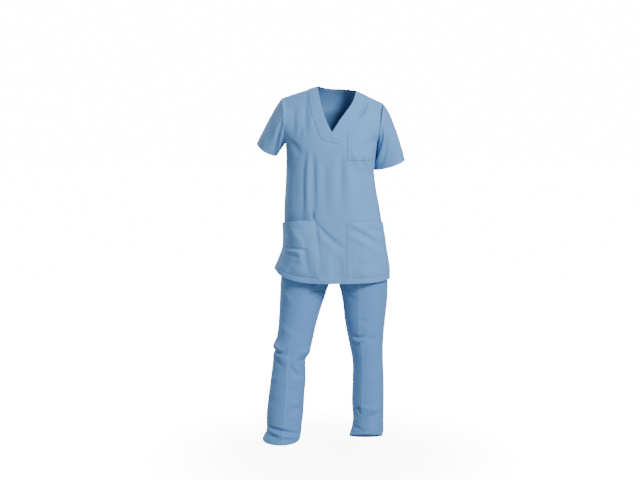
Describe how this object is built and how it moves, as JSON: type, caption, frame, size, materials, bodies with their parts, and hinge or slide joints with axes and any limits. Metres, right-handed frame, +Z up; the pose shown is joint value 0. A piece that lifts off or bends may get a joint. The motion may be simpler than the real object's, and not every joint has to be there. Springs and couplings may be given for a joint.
{
  "type": "medical scrubs",
  "caption": "Worn set of hospital scrubs: a hollow V-neck short-sleeved tunic with patch pockets over straight elastic-waist trousers with a front crease.",
  "frame": {"origin": "middle of the neck opening at shoulder height, where the wearer's shoulders carry the tunic", "axes": "+Z up, front faces -Y, +X towards the wearer's left"},
  "size_m": [0.5737, 0.3247, 1.3781],
  "materials": {
    "tunic_cloth": "matte light blue plain weave",
    "trouser_cloth": "matte mid blue plain weave",
    "thread": "matte blue sewing thread"
  },
  "bodies": {
    "root": {"top_front": "tunic_cloth", "top_back": "tunic_cloth", "neckband_right": "tunic_cloth", "neckband_left": "tunic_cloth", "neckband_back": "tunic_cloth", "sleeve_right": "tunic_cloth", "sleeve_left": "tunic_cloth", "pocket_chest": "tunic_cloth", "pocket_left": "tunic_cloth", "pocket_right": "tunic_cloth", "waistband": "trouser_cloth", "leg_right_front": "trouser_cloth", "leg_right_back": "trouser_cloth", "leg_left_front": "trouser_cloth", "leg_left_back": "trouser_cloth"}
  },
  "joints": []
}
